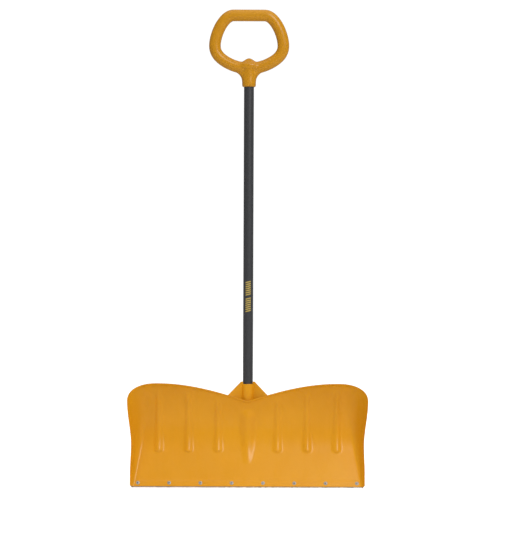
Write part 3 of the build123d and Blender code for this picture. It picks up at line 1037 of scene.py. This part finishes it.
def makeTicks():
    verts, faces = [], []
    across = 14
    pitch = (ticks["high"] - ticks["low"]) / (ticks["count"] - 1)
    for number in range(ticks["count"]):
        if number == ticks["skip"]:
            continue
        middle = ticks["low"] + number * pitch
        first = len(verts)
        for column in range(across + 1):
            share = 2 * column / across - 1
            angle = share * ticks["halfAngle"]
            for lift in (-ticks["film"], ticks["film"]):
                for end in (-0.5, 0.5):
                    radius = tubeRadius + lift
                    height = middle + end * ticks["height"] + share * ticks["slant"]
                    verts.append((radius * math.sin(angle), axisY - radius * math.cos(angle), height))
        for column in range(across):
            a = first + 4 * column
            b = a + 4
            faces += [(a + 2, b + 2, b + 3, a + 3), (a, a + 1, b + 1, b)]
            faces += [(a, b, b + 2, a + 2), (a + 1, a + 3, b + 3, b + 1)]
        last = first + 4 * across
        faces += [(first, first + 2, first + 3, first + 1), (last, last + 1, last + 3, last + 2)]
    made = newObject("handle_ticks", verts, faces)
    tidyNormals(made)
    finishMesh(made, 30)
    made.data.materials.append(makeTickPaint())
    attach(made, "root")
    print("ticks made")


makeTicks()


finishes = {
    "handle_tube": makePowderCoat(),
    "wear_strip": makeGalvanised(),
    "strip_rivets": makeMetal("rivet_aluminium"),
    "rivet_mandrels": makeMetal("mandrel_steel"),
    "tube_plug": makeBlackPlastic(),
}
zinc = makeMetal("zinc_steel")
for name in ("socket_bolt", "socket_washers", "socket_nut", "grip_screw"):
    finishes[name] = zinc
for name, finish in finishes.items():
    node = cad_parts[name]
    for place in node.material_slots:
        place.material = finish
print("finishes set on", len(finishes), "CAD nodes")


studio = {
    "floorSize": 30.0,
    "floorColour": (0.93, 0.93, 0.925),
    "floorGlow": 0.75,        # seen by the camera alone
    "around": 0.30,           # how bright the room is, away from the lamps
    "behind": 1.05,           # how white the room looks to the camera
}
lamps = {
    "key_softbox": {"place": (1.9, -4.6, 3.6), "target": (0, axisY, 0.4), "size": 1.7, "power": 140.0},
    "top_softbox": {"place": (0.3, -0.9, 6.0), "target": (0, 0, 0), "size": 7.0, "power": 180.0},
    "glint_lamp": {"place": (2.3, -3.0, 1.7), "target": (0, 0, 0.1), "size": 0.18, "power": 5.0},
    # lightens the right wing, and leaves no shine on the ribs
    "fill_softbox": {"place": (-2.8, -2.4, 0.4), "target": (0.12, 0, 0.1), "size": 1.0, "power": 0.32,
                     "spread": math.radians(20), "shine": False},
}


def makeFloor():
    half = studio["floorSize"] / 2
    corners = [(-half, -half, 0), (half, -half, 0), (half, half, 0), (-half, half, 0)]
    floor = newObject("floor", corners, [(0, 1, 2, 3)])
    material, shader = startMaterial("pale_floor")
    tone = noise(material, 3.0, 2.0)
    low = tuple(0.98 * part for part in studio["floorColour"])
    link(material, blendColours(material, tone, low, studio["floorColour"]), shader.inputs["Base Color"])
    shader.inputs["Roughness"].default_value = 0.9
    shader.inputs["Specular IOR Level"].default_value = 0.1
    shader.inputs["Emission Color"].default_value = (1, 1, 1, 1)
    seen = addNode(material, "ShaderNodeLightPath").outputs["Is Camera Ray"]
    glow = addMaths(material, "MULTIPLY", seen, studio["floorGlow"])
    link(material, glow, shader.inputs["Emission Strength"])
    floor.data.materials.append(material)


def makeLamp(name):
    look = lamps[name]
    light = bpy.data.lights.new(name, "AREA")
    light.shape = "SQUARE"
    light.size = look["size"]
    light.energy = look["power"]
    light.spread = look.get("spread", math.pi)
    lamp = bpy.data.objects.new(name, light)
    bpy.context.scene.collection.objects.link(lamp)
    lamp.visible_glossy = look.get("shine", True)
    lamp.location = look["place"]
    aim = Vector(look["target"]) - Vector(look["place"])
    lamp.rotation_euler = aim.to_track_quat("-Z", "Y").to_euler()


def makeRoom():
    # white behind the shovel, dimmer where it is only reflected
    world = bpy.data.worlds.new("studio_room")
    bpy.context.scene.world = world
    world.use_nodes = True
    nodes, links = world.node_tree.nodes, world.node_tree.links
    output = nodes["World Output"]
    seen = nodes["Background"]
    seen.inputs["Color"].default_value = (1, 1, 1, 1)
    seen.inputs["Strength"].default_value = studio["behind"]
    light = nodes.new("ShaderNodeBackground")
    light.inputs["Color"].default_value = (1, 1, 1, 1)
    light.inputs["Strength"].default_value = studio["around"]
    path = nodes.new("ShaderNodeLightPath")
    mix = nodes.new("ShaderNodeMixShader")
    links.new(path.outputs["Is Camera Ray"], mix.inputs["Fac"])
    links.new(light.outputs["Background"], mix.inputs[1])
    links.new(seen.outputs["Background"], mix.inputs[2])
    links.new(mix.outputs["Shader"], output.inputs["Surface"])


camera = {
    "side": 24.9 * mm,
    "distance": 4.5,
    "height": 558.4 * mm,
    "lens": 117.9,
    "roll": math.radians(-0.22),
}


def makeCamera():
    data = bpy.data.cameras.new("camera")
    data.sensor_width = 36
    data.lens = camera["lens"]
    made = bpy.data.objects.new("camera", data)
    bpy.context.scene.collection.objects.link(made)
    upright = Matrix.Rotation(math.pi / 2, 4, "X")
    roll = Matrix.Rotation(camera["roll"], 4, "Y")
    place = Matrix.Translation((camera["side"], axisY - camera["distance"], camera["height"]))
    made.matrix_world = place @ roll @ upright
    bpy.context.scene.camera = made


makeFloor()
makeRoom()
for name in lamps:
    makeLamp(name)
makeCamera()
bpy.context.scene.view_settings.view_transform = "Standard"
print("studio ready")
